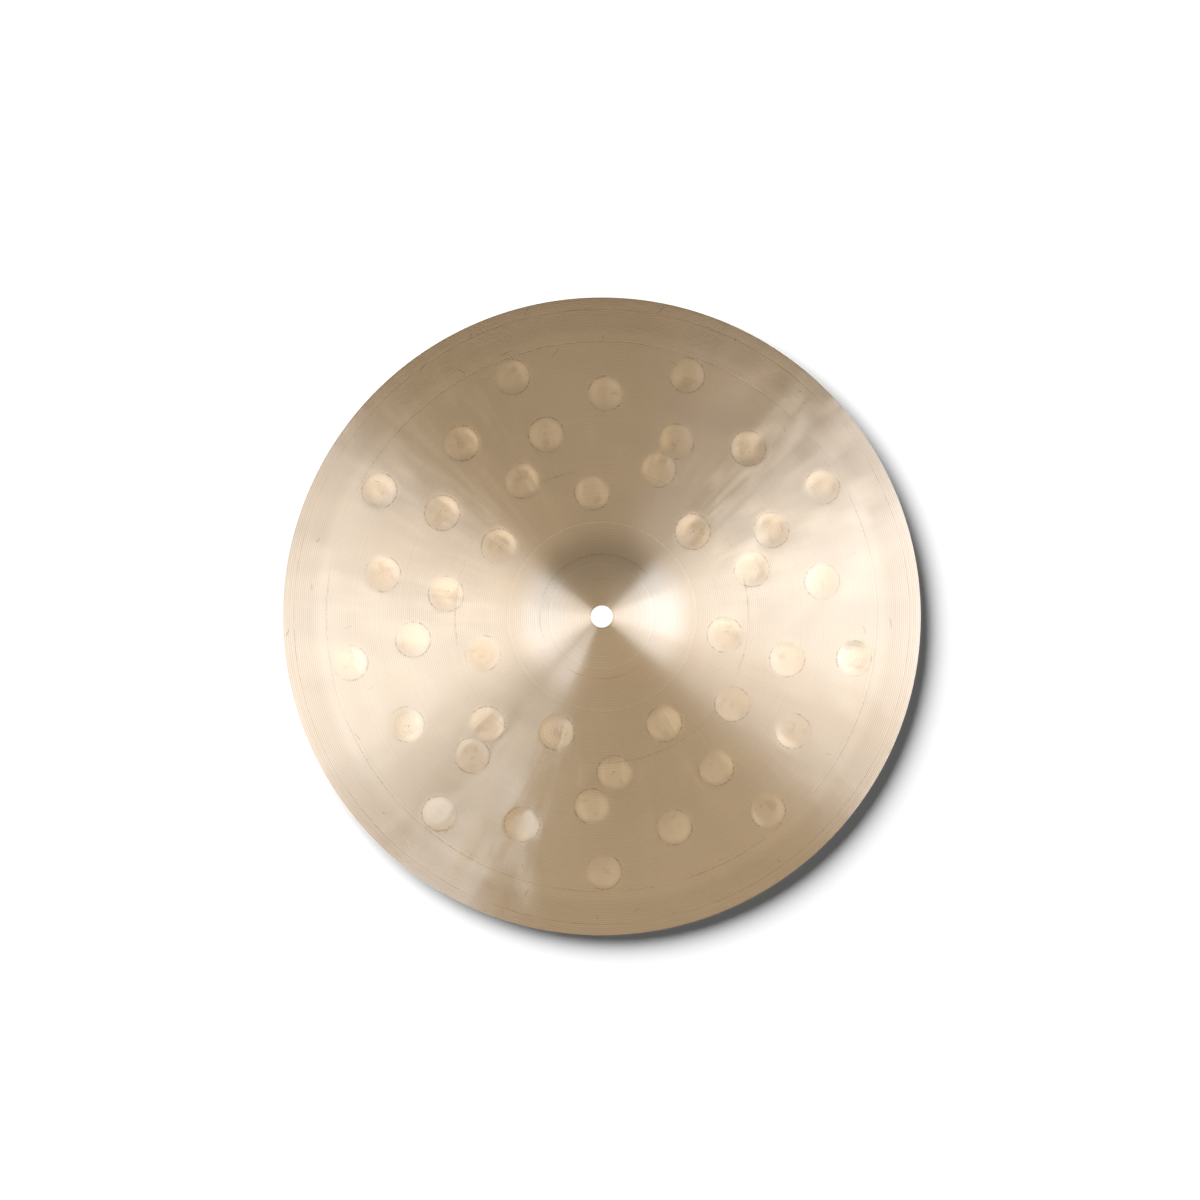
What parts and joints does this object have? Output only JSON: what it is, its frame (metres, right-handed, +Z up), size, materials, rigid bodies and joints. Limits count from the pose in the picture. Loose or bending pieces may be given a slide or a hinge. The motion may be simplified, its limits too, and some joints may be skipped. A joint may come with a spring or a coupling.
{
  "type": "crash cymbal",
  "caption": "Thin round bronze crash cymbal with a flared bell, a centre hole for a stand post, a shallow bow, turned grooves and rings of round hammer marks.",
  "frame": {"origin": "centre of the circle on which the rim rests, directly under the hole, on the rim plane", "axes": "+Z up through the hole and out of the top of the bell; +X and +Y lie in the rim plane, and the hammer marks' angles are counted from +X towards +Y"},
  "size_m": [0.3556, 0.3556, 0.0406],
  "materials": {
    "cast_bronze": "lathe-turned cast bronze, satin, with fine concentric grooves and no lacquer gloss"
  },
  "bodies": {
    "root": {"cymbal": "cast_bronze"}
  },
  "joints": []
}
